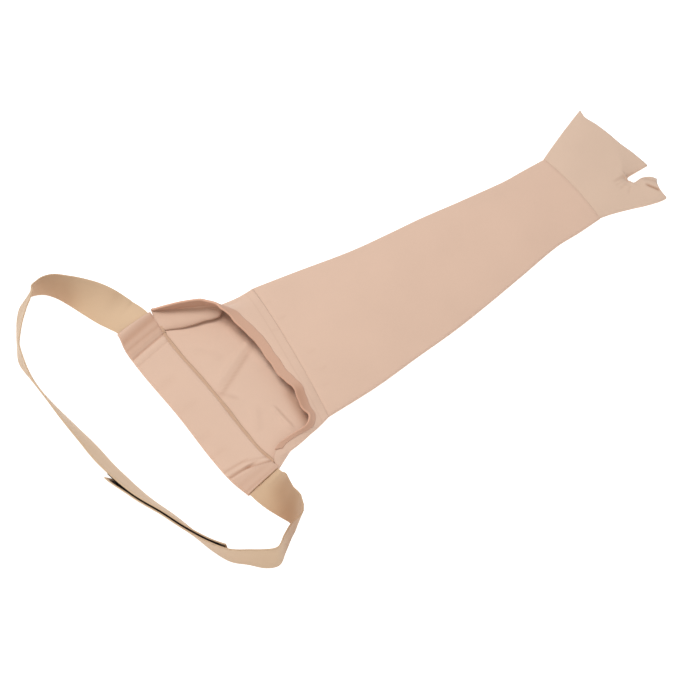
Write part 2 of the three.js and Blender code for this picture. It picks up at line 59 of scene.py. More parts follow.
camera = bpy.data.objects.new("camera", bpy.data.cameras.new("camera"))
camera.data.lens = CAMERA_LENS
camera_back = direction(CAMERA_AZIMUTH, CAMERA_ELEVATION)
camera.location = CAMERA_TARGET + CAMERA_DISTANCE * camera_back
camera.rotation_mode = "QUATERNION"
camera.rotation_quaternion = (-camera_back).to_track_quat("-Z", "Y")
bpy.context.collection.objects.link(camera)
bpy.context.scene.camera = camera


# Arm tube. A seamless tube of fine flat knit, pressed flat where it lies, with a soft fold along each
# side. It is open at the cap seam and at the wrist seam.
KNIT_WALL = 1.3 * MM
SEAT_GAP = 0.3 * MM
ARM_LENGTH = 358 * MM
ARM_TOP_WIDTH = 170 * MM
WRIST_WIDTH = 95 * MM
ARM_TOP_RISE = 14 * MM
WRIST_RISE = 10 * MM
FOLD = 3.6 * MM
CAP_SEAM_SLANT = 22 * MM
CAP_SEAM_X = -ARM_LENGTH / 2
WRIST_X = ARM_LENGTH / 2

# How wide the arm is on each side, from the wrist's half width at 0 to the top's at 1
ARM_ROWS = (
    dict(along=0, far=0.97, near=1, rise=1),
    dict(along=0.16, far=0.73, near=0.96, rise=0.9),
    dict(along=0.3, far=0.5, near=0.83, rise=0.75),
    dict(along=0.44, far=0.37, near=0.71, rise=0.62),
    dict(along=0.57, far=0.28, near=0.53, rise=0.5),
    dict(along=0.7, far=0.14, near=0.32, rise=0.34),
    dict(along=0.84, far=0.01, near=0.09, rise=0.18),
    dict(along=0.92, far=0, near=0.07, rise=0.08),
    dict(along=1, far=-0.01, near=0.02, rise=0),
)


def lerp(start, end, share):
    return start + (end - start) * share


def smooth(share):
    held = min(max(share, 0), 1)
    return held * held * (3 - 2 * held)


def nearness(point, start, end, width):
    """1 on a line in plan, fading to 0 across its width and towards its two ends. The line is in mm."""
    start, way = Vector(start), Vector(end) - Vector(start)
    off = Vector((point.x, point.y)) / MM - start
    share = off.dot(way) / way.length_squared
    across = (off - way * share).length / width
    return math.exp(-across ** 2) * smooth(4 * share) * smooth(4 * (1 - share))


def crease_sum(creases, point, column):
    """What a column of a table of creases comes to at a point, each crease by how near it lies."""
    return sum(crease[column] * nearness(point, *crease[:3]) for crease in creases)


def read_rows(rows, key, at, column):
    """A smooth value between the rows of a table."""
    k = 0
    while k < len(rows) - 2 and at > rows[k + 1][key]:
        k += 1
    start, end = rows[k], rows[k + 1]
    before, after = rows[max(k - 1, 0)], rows[min(k + 2, len(rows) - 1)]
    span = end[key] - start[key]
    share = (at - start[key]) / span
    slope_start = (end[column] - before[column]) / (end[key] - before[key]) * span
    slope_end = (after[column] - start[column]) / (after[key] - start[key]) * span
    s2, s3 = share ** 2, share ** 3
    return ((2 * s3 - 3 * s2 + 1) * start[column] + (s3 - 2 * s2 + share) * slope_start
            + (3 * s2 - 2 * s3) * end[column] + (s3 - s2) * slope_end)


def folded(share, width, radius, fold_share):
    """A place across from a fold at 0 to a fold at the width, with closer steps where each fold bends."""
    if share < fold_share:
        return radius * (1 - math.cos(math.pi / 2 * share / fold_share))
    if share > 1 - fold_share:
        return width - radius * (1 - math.cos(math.pi / 2 * (1 - share) / fold_share))
    return lerp(radius, width - radius, (share - fold_share) / (1 - 2 * fold_share))


def section_height(side, half, fold, rise, front):
    """Height of a flattened tube's section: flat back, rounded side folds, domed front."""
    radius = fold / 2
    bend = min(half - abs(side), radius)
    lift = math.sqrt(max(radius ** 2 - (radius - bend) ** 2, 0))
    dome = (rise - fold) * (1 - (side / half) ** 2) if front else 0
    return radius + (lift if front else -lift) + dome


def flat_section(turn, half, fold, rise, fold_share=0.1):
    """Side and height of a flattened tube's section: turn 0 is the near fold, 0.5 the far fold."""
    front = turn < 0.5
    share = 2 * turn if front else 2 - 2 * turn
    side = folded(share, 2 * half, fold / 2, fold_share) - half
    return side, section_height(side, half, fold, rise, front)


def add_patch(bm, courses, wales, place, flat):
    """A grid of cloth bent into shape. place(along, across) is the point for shares of the patch and
    flat(along, across) is where that point was on the flat cut, kept in the UV map."""
    uv_layer = bm.loops.layers.uv.active or bm.loops.layers.uv.new("cloth")
    before = set(bm.verts)
    bmesh.ops.create_grid(bm, x_segments=courses, y_segments=wales, size=0.5)
    fresh = [vert for vert in bm.verts if vert not in before]
    shares = {vert: (vert.co.x + 0.5, vert.co.y + 0.5) for vert in fresh}
    for face in {face for vert in fresh for face in vert.link_faces}:
        for loop in face.loops:
            loop[uv_layer].uv = flat(*shares[loop.vert])
    for vert in fresh:
        vert.co = place(*shares[vert])


def sway(point, height, length):
    """A slow rise and fall of soft cloth, of a height and a wave length."""
    return height * noise.noise(point / length)


def cloth_object(name, bm, material, wall, offset=-1, creases=(), swaying=0, painted_shading=None):
    """Sews the patches of a bmesh together, lays creases and a slow sway into its upper side, stores the
    painted shade and painted highlight per vertex for the material, and gives it a wall."""
    bmesh.ops.remove_doubles(bm, verts=bm.verts, dist=1e-6)
    bmesh.ops.recalc_face_normals(bm, faces=bm.faces)
    bm.normal_update()
    # Painted shade along the creases on upward faces, plus the piece's own painted shade or highlight
    painted_shading_layer = bm.verts.layers.float.new("painted_shading")
    for vert in bm.verts:
        upward = max(vert.normal.z, 0)
        vert[painted_shading_layer] = min(crease_sum(creases, vert.co, 4) * upward + (painted_shading(vert.co) if painted_shading else 0), 1)
    if creases or swaying:
        moves = [
            vert.normal * max(vert.normal.z, 0)
            * (crease_sum(creases, vert.co, 3) * MM + sway(vert.co, swaying, 40 * MM))
            for vert in bm.verts
        ]
        for vert, move in zip(bm.verts, moves):
            vert.co += move
    for face in bm.faces:
        face.smooth = True
    mesh = bpy.data.meshes.new(name)
    bm.to_mesh(mesh)
    bm.free()
    mesh.materials.append(material)
    piece = bpy.data.objects.new(name, mesh)
    bpy.context.collection.objects.link(piece)
    solid = piece.modifiers.new("wall", "SOLIDIFY")
    solid.thickness = wall
    solid.offset = offset
    return piece


def stand_in(piece, node):
    """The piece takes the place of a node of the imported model."""
    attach(piece, "root")
    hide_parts(node)


def arm_size(along):
    """Half width, middle line and rise of the arm at a share of its length."""
    spread = (ARM_TOP_WIDTH - WRIST_WIDTH) / 2
    far = WRIST_WIDTH / 2 + spread * read_rows(ARM_ROWS, "along", along, "far")
    near = WRIST_WIDTH / 2 + spread * read_rows(ARM_ROWS, "along", along, "near")
    rise = lerp(WRIST_RISE, ARM_TOP_RISE, read_rows(ARM_ROWS, "along", along, "rise"))
    return (far + near) / 2, (far - near) / 2, rise


def arm_row(share):
    """The place along the arm for a share of its rows, which lie closer towards both seams."""
    return share - 0.85 * math.sin(2 * math.pi * share) / (2 * math.pi)


def arm_place(share, turn):
    along = arm_row(share)
    half, middle, rise = arm_size(along)
    side, height = flat_section(turn, half, FOLD, rise)
    x = CAP_SEAM_X + ARM_LENGTH * along + CAP_SEAM_SLANT / 2 * side / half * (1 - along)
    return Vector((x, middle + side, height))


class Socket:
    """One value in a material, on which sums are written as they are on paper."""

    def __init__(self, nodes, link):
        self.nodes, self.link = nodes, link

    def maths(self, operation, *others):
        return self.nodes.add("Math", {"operation": operation}, self, *others)[0]

    def __add__(self, other): return self.maths("ADD", other)
    def __sub__(self, other): return self.maths("SUBTRACT", other)
    def __mul__(self, other): return self.maths("MULTIPLY", other)
    def __rsub__(self, other): return (self * -1) + other
    def __abs__(self): return self.maths("ABSOLUTE")
    __radd__, __rmul__ = __add__, __mul__

    def clamped(self):
        return self.nodes.add("Clamp", {}, self)[0]


class Nodes:
    """The node tree of one material."""

    def __init__(self, name):
        self.material = bpy.data.materials.new(name)
        self.material.use_nodes = True
        self.tree = self.material.node_tree
        self.shader = self.tree.nodes["Principled BSDF"]

    def add(self, kind, settings, *values, **named):
        node = self.tree.nodes.new("ShaderNode" + kind)
        for key, value in settings.items():
            setattr(node, key, value)
        for socket, value in [*zip(node.inputs, values), *((node.inputs[n], v) for n, v in named.items())]:
            self.join(value, socket)
        return [Socket(self, output) for output in node.outputs]

    def join(self, value, socket):
        if isinstance(value, Socket):
            self.tree.links.new(value.link, socket)
        elif value is not None:
            socket.default_value = value

    def mixed(self, share, first, second):
        node = self.tree.nodes.new("ShaderNodeMix")
        node.data_type = "RGBA"
        for socket, value in zip((node.inputs[0], node.inputs[6], node.inputs[7]), (share, first, second)):
            self.join(value, socket)
        return Socket(self, node.outputs[2])

    def ramp(self, share, *stops):
        node = self.tree.nodes.new("ShaderNodeValToRGB")
        while len(node.color_ramp.elements) < len(stops):
            node.color_ramp.elements.new(1)
        for element, (at, color) in zip(node.color_ramp.elements, stops):
            element.position, element.color = at, color
        self.join(share, node.inputs[0])
        return Socket(self, node.outputs[0])


def paint(red, green, blue):
    """A colour as the eye names it, 0 to 255, as linear light."""
    def linear(level):
        level /= 255
        return level / 12.92 if level <= 0.04045 else ((level + 0.055) / 1.055) ** 2.4
    return (linear(red), linear(green), linear(blue), 1)


# What painted shade (1) and a painted highlight (-1) make of a colour, as shares of its red, green and blue
PAINTED_SHADE_SHARES = (0.58, 0.42, 0.33)
PAINTED_HIGHLIGHT_SHARES = (1.28, 1.3, 1.34)
# A painted highlight along a fold: its half width and how strong it is
PAINTED_HIGHLIGHT_WIDTH = 1.4 * MM
PAINTED_HIGHLIGHT_SHARE = 0.6


def with_painted_shading(nodes, color, base):
    """The colour, going over to a deeper, darker painted shade where the attribute is above 0, and to a
    paler painted highlight where it is below 0."""
    painted_shading = nodes.add("Attribute", {"attribute_name": "painted_shading"})[2]
    painted_shade_color, painted_light_color = (
        tuple(min(level * share, 1) for level, share in zip(base, shares)) + (1,)
        for shares in (PAINTED_SHADE_SHARES, PAINTED_HIGHLIGHT_SHARES)
    )
    return nodes.mixed((painted_shading * -1).clamped(), nodes.mixed(painted_shading.clamped(), color, painted_shade_color), painted_light_color)


def knit_material(name, color, wale=0.9 * MM, course=0.7 * MM, depth=0.12 * MM, highlight_fold=None):
    """Fine flat knit: columns of small V loops, a soft nap, a faint unevenness of the yarn, and painted
    shade and highlight. It has a painted highlight along a fold across the cut at the highlight fold."""
    nodes = Nodes(name)
    uv = nodes.add("UVMap", {"uv_map": "cloth"})[0]
    along, across, _ = nodes.add("SeparateXYZ", {}, uv)
    place = nodes.add("TexCoord", {})[3]
    column = (across * (1 / wale)).maths("FRACT")
    leg = abs(column * 2 - 1)
    loops = (along * (1 / course) + leg * 0.6).maths("FRACT")
    loop_height = (loops * math.pi).maths("SINE") * (leg * math.pi).maths("SINE").maths("ABSOLUTE")
    cloudy = nodes.add("TexNoise", {}, Vector=place, Scale=18.0, Detail=3.0)[0]
    fine = nodes.add("TexNoise", {}, Vector=place, Scale=900.0, Detail=2.0)[0]
    shade = (cloudy - 0.5) * 0.22 + (fine - 0.5) * 0.16 + (loop_height - 0.5) * 0.1 + 0.5
    tint = nodes.ramp(
        shade.clamped(),
        (0.0, tuple(c * 0.80 for c in color[:3]) + (1,)),
        (0.5, color),
        (1.0, tuple(min(c * 1.16, 1) for c in color[:3]) + (1,)),
    )
    tint = with_painted_shading(nodes, tint, color)
    # Painted highlight along the fold
    if highlight_fold:
        edge = 1 - abs(across - highlight_fold) * (1 / PAINTED_HIGHLIGHT_WIDTH)
        painted_light_color = tuple(min(c * 1.5, 1) for c in color[:3]) + (1,)
        tint = nodes.mixed(edge.clamped() * PAINTED_HIGHLIGHT_SHARE, tint, painted_light_color)
    nodes.join(tint, nodes.shader.inputs["Base Color"])
    height = loop_height * 0.6 + fine * 0.4
    normal = nodes.add("Bump", {}, Strength=0.35, Distance=depth, Height=height)[0]
    nodes.join(normal, nodes.shader.inputs["Normal"])
    nodes.shader.inputs["Roughness"].default_value = 0.85
    nodes.shader.inputs["Sheen Weight"].default_value = 0.25
    nodes.shader.inputs["Sheen Roughness"].default_value = 0.5
    nodes.shader.inputs["Specular IOR Level"].default_value = 0.25
    return nodes.material


ARM_COLOR = paint(223, 190, 168)
ARM_GIRTH = ARM_TOP_WIDTH + WRIST_WIDTH
sleeve_knit = knit_material("sleeve_knit", ARM_COLOR)

# Creases, here the grooves of the two seams and the small gathers beside them: from and to in plan,
# half width and rise, in mm, and how deep the painted shade along them is
CAP_SEAM_GROOVE = ((-212, -254), (-146, 253), 0.9, -0.4, 0.1)
WRIST_GROOVE = ((179, -150), (179, 150), 1.9, -0.45, 0.07)
ARM_CREASES = (
    CAP_SEAM_GROOVE,
    WRIST_GROOVE,
    ((-172, -18), (-158, -20), 1.6, -0.5, 0.05),
    ((-177, -38), (-160, -41), 1.5, -0.6, 0.08),
    ((-178, -56), (-166, -58), 1.4, -0.4, 0.05),
    ((-172, 34), (-160, 30), 1.6, -0.4, 0.05),
    ((-170, 58), (-161, 57), 1.4, -0.3, 0.03),
    ((-173, 8), (-163, 7), 1.4, -0.3, 0.03),
)

arm_mesh = bmesh.new()
add_patch(
    arm_mesh, 200, 130, arm_place,
    lambda share, turn: (arm_row(share) * ARM_LENGTH, turn * ARM_GIRTH),
)
arm = cloth_object("arm_tube", arm_mesh, sleeve_knit, KNIT_WALL, creases=ARM_CREASES, swaying=0.5 * MM)
stand_in(arm, "arm_sleeve")


# Hand gauntlet. Two layers of the same knit, cut with a thumb stub and a round notch beside it, sewn
# along the sides and open for the fingers and the thumb.
GAUNTLET_LENGTH = 75 * MM
HAND_FLARE = 31 * MM
THUMB_FLARE = 20 * MM
FINGER_TIP_REACH = 11 * MM
THUMB_TIP_REACH = 8 * MM
CROTCH_DEPTH = 20 * MM
NOTCH_RADIUS = 4.75 * MM
THUMB_SPLIT = 27 * MM
HAND_RISE = 9 * MM
OPENING_HOLLOW = 5.5 * MM
CROTCH = 1 - CROTCH_DEPTH / GAUNTLET_LENGTH
SEWN_EDGE = 34 * MM
NOTCH_EDGE = 12 * MM
THUMB_EDGE = 30 * MM

# Shares of the gauntlet's rows that end where the notch begins, at its bottom and where it is whole
BEFORE_NOTCH = 0.55
NOTCH_BOTTOM = 0.67
NOTCH_WHOLE = 0.8

# How far the finger opening's edge falls back, from the outer fold to the notch, mm
OPENING_ROWS = (
    dict(share=0, back=0),
    dict(share=0.07, back=3.6),
    dict(share=0.15, back=6.2),
    dict(share=0.31, back=4.7),
    dict(share=0.48, back=4.2),
    dict(share=0.64, back=4.3),
    dict(share=0.8, back=1.9),
    dict(share=1, back=0),
)

# Far is a share of the hand's flare and near of the thumb's; taper is how far the thumb narrows, mm
GAUNTLET_ROWS = (
    dict(along=0, far=0, near=0, taper=0),
    dict(along=0.2, far=0.22, near=0.16, taper=0),
    dict(along=0.49, far=0.52, near=0.5, taper=0),
    dict(along=CROTCH - 0.08, far=0.68, near=0.72, taper=0),
    dict(along=CROTCH - 0.015, far=0.74, near=0.79, taper=0),
    dict(along=CROTCH + 0.06, far=0.815, near=0.87, taper=0),
    dict(along=0.88, far=0.895, near=0.95, taper=-0.5),
    dict(along=0.97, far=0.975, near=0.99, taper=4.4),
    dict(along=1, far=1, near=0.97, taper=9.8),
)


def gauntlet_row(share):
    """The place along the gauntlet for a share of its rows, with closer rows round the notch."""
    before, after = CROTCH - FOLD / 2 / GAUNTLET_LENGTH, CROTCH + NOTCH_RADIUS / GAUNTLET_LENGTH
    if share < BEFORE_NOTCH:
        return before * share / BEFORE_NOTCH
    if share < NOTCH_BOTTOM:
        turn = (share - BEFORE_NOTCH) / (NOTCH_BOTTOM - BEFORE_NOTCH)
        return lerp(before, CROTCH, math.sin(math.pi / 2 * turn))
    if share < NOTCH_WHOLE:
        turn = (share - NOTCH_BOTTOM) / (NOTCH_WHOLE - NOTCH_BOTTOM)
        return lerp(CROTCH, after, 1 - math.cos(math.pi / 2 * turn))
    return lerp(after, 1, (share - NOTCH_WHOLE) / (1 - NOTCH_WHOLE))


def notch_half(past):
    """Half the notch's width at a length past its bottom, round there and straight after."""
    inside = max(NOTCH_RADIUS - max(past, 0), 0)
    return math.sqrt(NOTCH_RADIUS ** 2 - inside ** 2)


def crowned(distance, reach):
    """The share of the full height at a distance from an edge, rising over the reach."""
    return 1 - (1 - min(max(distance / reach, 0), 1)) ** 2


def gauntlet_place(row_share, share, fingers, front):
    """A point of the fingers' or the thumb's side, from the outer fold to the notch, front or back."""
    along = gauntlet_row(row_share)
    read = lambda column: read_rows(GAUNTLET_ROWS, "along", along, column)
    far = WRIST_WIDTH / 2 + HAND_FLARE * read("far")
    near = -WRIST_WIDTH / 2 - THUMB_FLARE * read("near")
    past = (along - CROTCH) * GAUNTLET_LENGTH
    opening = max(past, 0) / CROTCH_DEPTH
    notch = notch_half(past) if past > 0 else 0
    taper = read("taper") * MM if past > 0 and not fingers else 0
    inner = -THUMB_SPLIT + (notch if fingers else -notch - taper)
    outer = far if fingers else near
    width = abs(outer - inner)
    radius = FOLD / 2
    from_outer = folded(share, width, radius, 0.15)
    y = outer + (inner - outer) * from_outer / width
    from_notch = width - from_outer if past > 0 else math.hypot(min(past, 0), y + THUMB_SPLIT)
    bend = min(from_outer, from_notch, radius)
    lift = math.sqrt(max(radius ** 2 - (radius - bend) ** 2, 0))
    whole = far - near
    tube_crown = 4 * from_outer * (whole - from_outer) / whole ** 2
    split = smooth(opening)
    hand_crown = crowned(from_outer, lerp(SEWN_EDGE, min(width / 2, THUMB_EDGE), split))
    hand_crown *= crowned(from_notch, lerp(NOTCH_EDGE, width / 2, split))
    hand_crown *= lerp(crowned(whole - from_outer, SEWN_EDGE), 1, split)
    crown = lerp(tube_crown, hand_crown, smooth(along / 0.5))
    rise = lerp(WRIST_RISE, HAND_RISE, along) - FOLD
    share_in = from_outer / width
    if fingers:
        reach = FINGER_TIP_REACH * share_in - read_rows(OPENING_ROWS, "share", share_in, "back") * MM
    else:
        reach = THUMB_TIP_REACH * share_in - 4 * OPENING_HOLLOW * share_in * (1 - share_in)
    x = WRIST_X + GAUNTLET_LENGTH * along + reach * opening
    return Vector((x, y, radius + (lift + rise * crown if front else -lift)))


def gauntlet_flat(row_share, share, fingers, front):
    point = gauntlet_place(row_share, share, fingers, front)
    return point.x - WRIST_X, point.y if front else -point.y


gauntlet_knit = knit_material("gauntlet_knit", paint(221, 192, 170))
# Creases of the wrist seam and the thumb with painted shade along them; the last is painted shade only
GAUNTLET_CREASES = (
    WRIST_GROOVE,
    ((216, -34), (230, -31), 1.6, -0.5, 0.12),
    ((214, -28), (228, -27), 1.5, -0.3, 0.08),
    ((220, -44), (231, -35), 1.6, -0.4, 0.08),
    ((243, -42), (252, -60), 1.3, -1.2, 0.85),
    ((245, -29), (260, -54), 1.8, -0.5, 0.3),
    ((214, -22.5), (250, -21.5), 1.3, 0, 0.35),
)
gauntlet_mesh = bmesh.new()
for fingers, wales in ((True, 72), (False, 32)):
    for front in (True, False):
        add_patch(
            gauntlet_mesh, 96, wales,
            lambda along, share: gauntlet_place(along, share, fingers, front),
            lambda along, share: gauntlet_flat(along, share, fingers, front),
        )
gauntlet = cloth_object(
    "hand_piece", gauntlet_mesh, gauntlet_knit, KNIT_WALL, creases=GAUNTLET_CREASES, swaying=0.4 * MM,
)
stand_in(gauntlet, "hand_gauntlet")


# Chest strap. One wide elastic webbing that stands on its edge in a loop, leans over where it runs
# into the hem, and closes on itself with hook and loop tape.
CAP_LENGTH = 88 * MM
HEM_SEAM_X = CAP_SEAM_X - CAP_LENGTH
STRAP_WIDTH = 38 * MM
STRAP_THICKNESS = 1.4 * MM
CASING_EDGE = 1.9 * MM
CASING_MIDDLE = 2.4 * MM
CASING_FADE = 28 * MM
STRAP_BASE_X = HEM_SEAM_X - SEAT_GAP - CASING_EDGE - STRAP_WIDTH
LOOP_REACH = 100 * MM
LOOP_HALF_SPAN = 200 * MM
OVERLAP_LENGTH = 132 * MM
TAPE_THICKNESS = 0.85 * MM
TAPE_GAP = 0.03 * MM
TAPE_MARGIN = 0.8 * MM
OUTER_PEEL = 2.4 * MM
OUTER_PEEL_LENGTH = 30 * MM
INNER_PEEL = 0.5 * MM
INNER_PEEL_LENGTH = 18 * MM
STACK_FADE = 35 * MM

# The strap's lower edge on the floor, from the hem's far end right round and back through the hem: its
# reach away from the hem and its side as shares of the loop's sizes, and its lean from upright in degrees
LOOP_ROWS = (
    (0.013, 0.565, 90), (0.056, 0.622, 84), (0.117, 0.69, 66), (0.182, 0.78, 42), (0.242, 0.87, 20),
    (0.31, 0.95, 4), (0.39, 1, -12), (0.52, 1.025, -22), (0.65, 1, -27), (0.745, 0.95, -27),
    (0.83, 0.88, -21), (0.918, 0.795, -14), (0.995, 0.705, -8), (0.99, 0.59, 3), (0.972, 0.48, 12),
    (0.935, 0.35, 17), (0.89, 0.22, 23), (0.84, 0.07, 28), (0.8, -0.115, 30), (0.72, -0.305, 28),
    (0.62, -0.46, 24), (0.55, -0.593, 20), (0.495, -0.7, 14), (0.425, -0.787, 9), (0.32, -0.853, 6),
    (0.217, -0.92, 0), (0.097, -0.945, 0), (-0.025, -0.905, 1), (-0.15, -0.86, 5), (-0.235, -0.83, 13),
    (-0.23, -0.795, 24), (-0.185, -0.74, 34), (-0.128, -0.67, 59), (-0.092, -0.61, 80),
    (-0.075, -0.5625, 88), (-0.025, -0.455, 90), (0, -0.3, 90), (0.01, 0, 90), (0.045, 0.3, 90),
    (0.045, 0.46, 90),
)
NEAR_END_ROW = 34
INNER_TIP_ROW = 23


def loop_corner(row):
    """A row's place on the floor, with its lean in place of a height."""
    reach, side, lean = LOOP_ROWS[row % len(LOOP_ROWS)]
    return Vector((STRAP_BASE_X - LOOP_REACH * reach, LOOP_HALF_SPAN * side, math.radians(lean)))


def loop_place(row):
    """The point, direction and lean of the strap's lower edge at a row of the loop, or between rows."""
    k = math.floor(row)
    share = row - k
    a, b, c, d = (loop_corner(k + step) for step in (-1, 0, 1, 2))
    steps = [math.sqrt((q - p).to_2d().length) for p, q in ((a, b), (b, c), (c, d))]
    slope_b = ((b - a) / steps[0] - (c - a) / (steps[0] + steps[1]) + (c - b) / steps[1]) * steps[1]
    slope_c = ((c - b) / steps[1] - (d - b) / (steps[1] + steps[2]) + (d - c) / steps[2]) * steps[1]
    s2, s3 = share ** 2, share ** 3
    at = (b * (2 * s3 - 3 * s2 + 1) + slope_b * (s3 - 2 * s2 + share)
          + c * (3 * s2 - 2 * s3) + slope_c * (s3 - s2))
    way = (b * (6 * s2 - 6 * share) + slope_b * (3 * s2 - 4 * share + 1)
           + c * (6 * share - 6 * s2) + slope_c * (3 * s2 - 2 * share))
    return at.to_2d().to_3d(), way.to_2d().to_3d().normalized(), min(at.z, math.pi / 2)


# The length walked round the loop to each of many small steps, so that a length finds its row
WALK_STEPS = 16
loop_lengths = [0]
for step in range(len(LOOP_ROWS) * WALK_STEPS):
    stride = loop_place((step + 1) / WALK_STEPS)[0] - loop_place(step / WALK_STEPS)[0]
    loop_lengths.append(loop_lengths[-1] + stride.length)


def length_at(row):
    k = min(int(row * WALK_STEPS), len(loop_lengths) - 2)
    return lerp(loop_lengths[k], loop_lengths[k + 1], row * WALK_STEPS - k)


def row_at(length):
    k = 0
    while k < len(loop_lengths) - 2 and loop_lengths[k + 1] < length:
        k += 1
    return (k + (length - loop_lengths[k]) / (loop_lengths[k + 1] - loop_lengths[k])) / WALK_STEPS


LOOP_LENGTH = loop_lengths[-1]
HEM_FAR_END = LOOP_LENGTH - 1e-6
INNER_TIP = length_at(INNER_TIP_ROW)
OUTER_TIP = INNER_TIP - OVERLAP_LENGTH
NEAR_END = length_at(NEAR_END_ROW)
LOOP_TAPE_OFFSET = (STRAP_THICKNESS + TAPE_THICKNESS) / 2 + TAPE_GAP
HOOK_TAPE_OFFSET = LOOP_TAPE_OFFSET + TAPE_THICKNESS + TAPE_GAP
OUTER_OFFSET = HOOK_TAPE_OFFSET + (STRAP_THICKNESS + TAPE_THICKNESS) / 2 + TAPE_GAP


def inner_peel(length):
    """How far the inner end stands off the tape at its tip."""
    return INNER_PEEL * smooth((length - INNER_TIP + INNER_PEEL_LENGTH) / INNER_PEEL_LENGTH)


def outer_peel(length):
    """How far the outer end stands off the tape at its tip."""
    return OUTER_PEEL * smooth((OUTER_TIP + OUTER_PEEL_LENGTH - length) / OUTER_PEEL_LENGTH)


def outward_stack(length):
    """How far the outer end lies outside the inner one, fading out on both sides of the overlap."""
    before = smooth((length - OUTER_TIP + STACK_FADE) / STACK_FADE)
    after = 1 - smooth((length - INNER_TIP) / STACK_FADE)
    return (OUTER_OFFSET + outer_peel(length)) * min(before, after)


def strap_point(length, up, outward):
    """A point on the strap's section: up its width, and outward from its inner layer."""
    at, way, lean = loop_place(row_at(length))
    out = Vector((way.y, -way.x, 0)).normalized()
    from_casing = min(length, max(NEAR_END - length, 0))
    lift = (CASING_MIDDLE - STRAP_THICKNESS / 2) * (1 - smooth(from_casing / CASING_FADE))
    seat = abs(math.sin(lean)) * (STRAP_THICKNESS / 2 + outward_stack(length)) + lift
    height = seat + up * math.cos(lean) - outward * math.sin(lean)
    return at + out * (up * math.sin(lean) + outward * math.cos(lean)) + Vector((0, 0, height))


WEFT = 0.8 * MM


def webbing_material(name, color, rib=1.1 * MM, depth=0.15 * MM, sheen=0.15, specular=0.3):
    """Woven elastic: fine ribs along the strap, crossed by the weft."""
    nodes = Nodes(name)
    uv = nodes.add("UVMap", {"uv_map": "cloth"})[0]
    along, across, _ = nodes.add("SeparateXYZ", {}, uv)
    place = nodes.add("TexCoord", {})[3]
    ribs = (across * (2 * math.pi / rib)).maths("SINE") * 0.5 + 0.5
    weft = (along * (2 * math.pi / WEFT)).maths("SINE") * 0.5 + 0.5
    cloudy = nodes.add("TexNoise", {}, Vector=place, Scale=25.0, Detail=3.0)[0]
    fine = nodes.add("TexNoise", {}, Vector=place, Scale=700.0, Detail=2.0)[0]
    height = ribs * 0.5 + weft * ribs * 0.3 + fine * 0.2
    shade = (cloudy - 0.5) * 0.2 + (height - 0.5) * 0.25 + 0.5
    tint = nodes.ramp(
        shade.clamped(),
        (0.0, tuple(c * 0.78 for c in color[:3]) + (1,)),
        (0.5, color),
        (1.0, tuple(min(c * 1.15, 1) for c in color[:3]) + (1,)),
    )
    nodes.join(with_painted_shading(nodes, tint, color), nodes.shader.inputs["Base Color"])
    normal = nodes.add("Bump", {}, Strength=0.4, Distance=depth, Height=height)[0]
    nodes.join(normal, nodes.shader.inputs["Normal"])
    nodes.shader.inputs["Roughness"].default_value = 0.75
    nodes.shader.inputs["Sheen Weight"].default_value = sheen
    nodes.shader.inputs["Specular IOR Level"].default_value = specular
    return nodes.material


strap_elastic = webbing_material("strap_elastic", paint(212, 181, 148))

# The elastic has painted shade where it bends round and a painted highlight where it faces the lamp:
# from and to in plan, half width, rise, and painted shade (below 0 a painted highlight)
STRAP_PAINTED_SHADING = (
    ((-384, 240), (-316, 160), 13, 0, 0.45),
    ((-264, -110), (-304, -210), 15, 0, 0.55),
    ((-270, -180), (-410, -120), 26, 0, 0.22),
    ((-310, 170), (-270, 90), 18, 0, -0.28),
)


EDGE_ROUNDING = 0.3
EDGE_ANGLE = math.radians(50)


def strip(name, start, end, low, high, thickness, offset, material, courses, wales=12, painted_shading=None):
    """A flat strip along the loop between two lengths, with a soft bevel round its edges."""
    mesh = bmesh.new()
    add_patch(
        mesh, courses, wales,
        lambda along, across: strap_point(
            lerp(start, end, along) % LOOP_LENGTH, lerp(low, high, across), offset(lerp(start, end, along)),
        ),
        lambda along, across: (lerp(start, end, along), lerp(low, high, across)),
    )
    piece = cloth_object(name, mesh, material, thickness, offset=0, painted_shading=painted_shading)
    edge = piece.modifiers.new("edge", "BEVEL")
    edge.width = thickness * EDGE_ROUNDING
    edge.segments = 2
    edge.limit_method = "ANGLE"
    edge.angle_limit = EDGE_ANGLE
    return piece


def strap_offset(length):
    return outward_stack(length) if length < LOOP_LENGTH else -inner_peel(length - LOOP_LENGTH)


STRAP_LENGTH = LOOP_LENGTH - OUTER_TIP + INNER_TIP
strap = strip(
    "elastic_strap", OUTER_TIP, LOOP_LENGTH + INNER_TIP, 0, STRAP_WIDTH, STRAP_THICKNESS,
    strap_offset, strap_elastic, 520, painted_shading=lambda point: crease_sum(STRAP_PAINTED_SHADING, point, 4),
)
stand_in(strap, "chest_strap")


# Hook and loop tape. A dark strip of each is sewn to the strap's two ends, face to face in the overlap.
tape_nylon = webbing_material("closure_tape", paint(30, 18, 13), rib=0.6 * MM, sheen=0, specular=0.1)
TIP_HEM = 6 * MM
for name, node, start, end, offset, peel in (
    ("loop_tape_strip", "loop_tape", 0, TIP_HEM, LOOP_TAPE_OFFSET, lambda length: -inner_peel(length)),
    ("hook_tape_strip", "hook_tape", TIP_HEM, 0, HOOK_TAPE_OFFSET, outer_peel),
):
    tape = strip(
        name, OUTER_TIP + start, INNER_TIP - end, TAPE_MARGIN, STRAP_WIDTH - TAPE_MARGIN, TAPE_THICKNESS,
        lambda length: offset + peel(length), tape_nylon, 90,
    )
    stand_in(tape, node)


# Hem band. The end of the cap's back is folded into a flat casing round the strap, and is gathered
# where the strap comes out of its two ends.
CASING_LENGTH = LOOP_LENGTH - NEAR_END
CASING_CROWN = 0.8 * MM


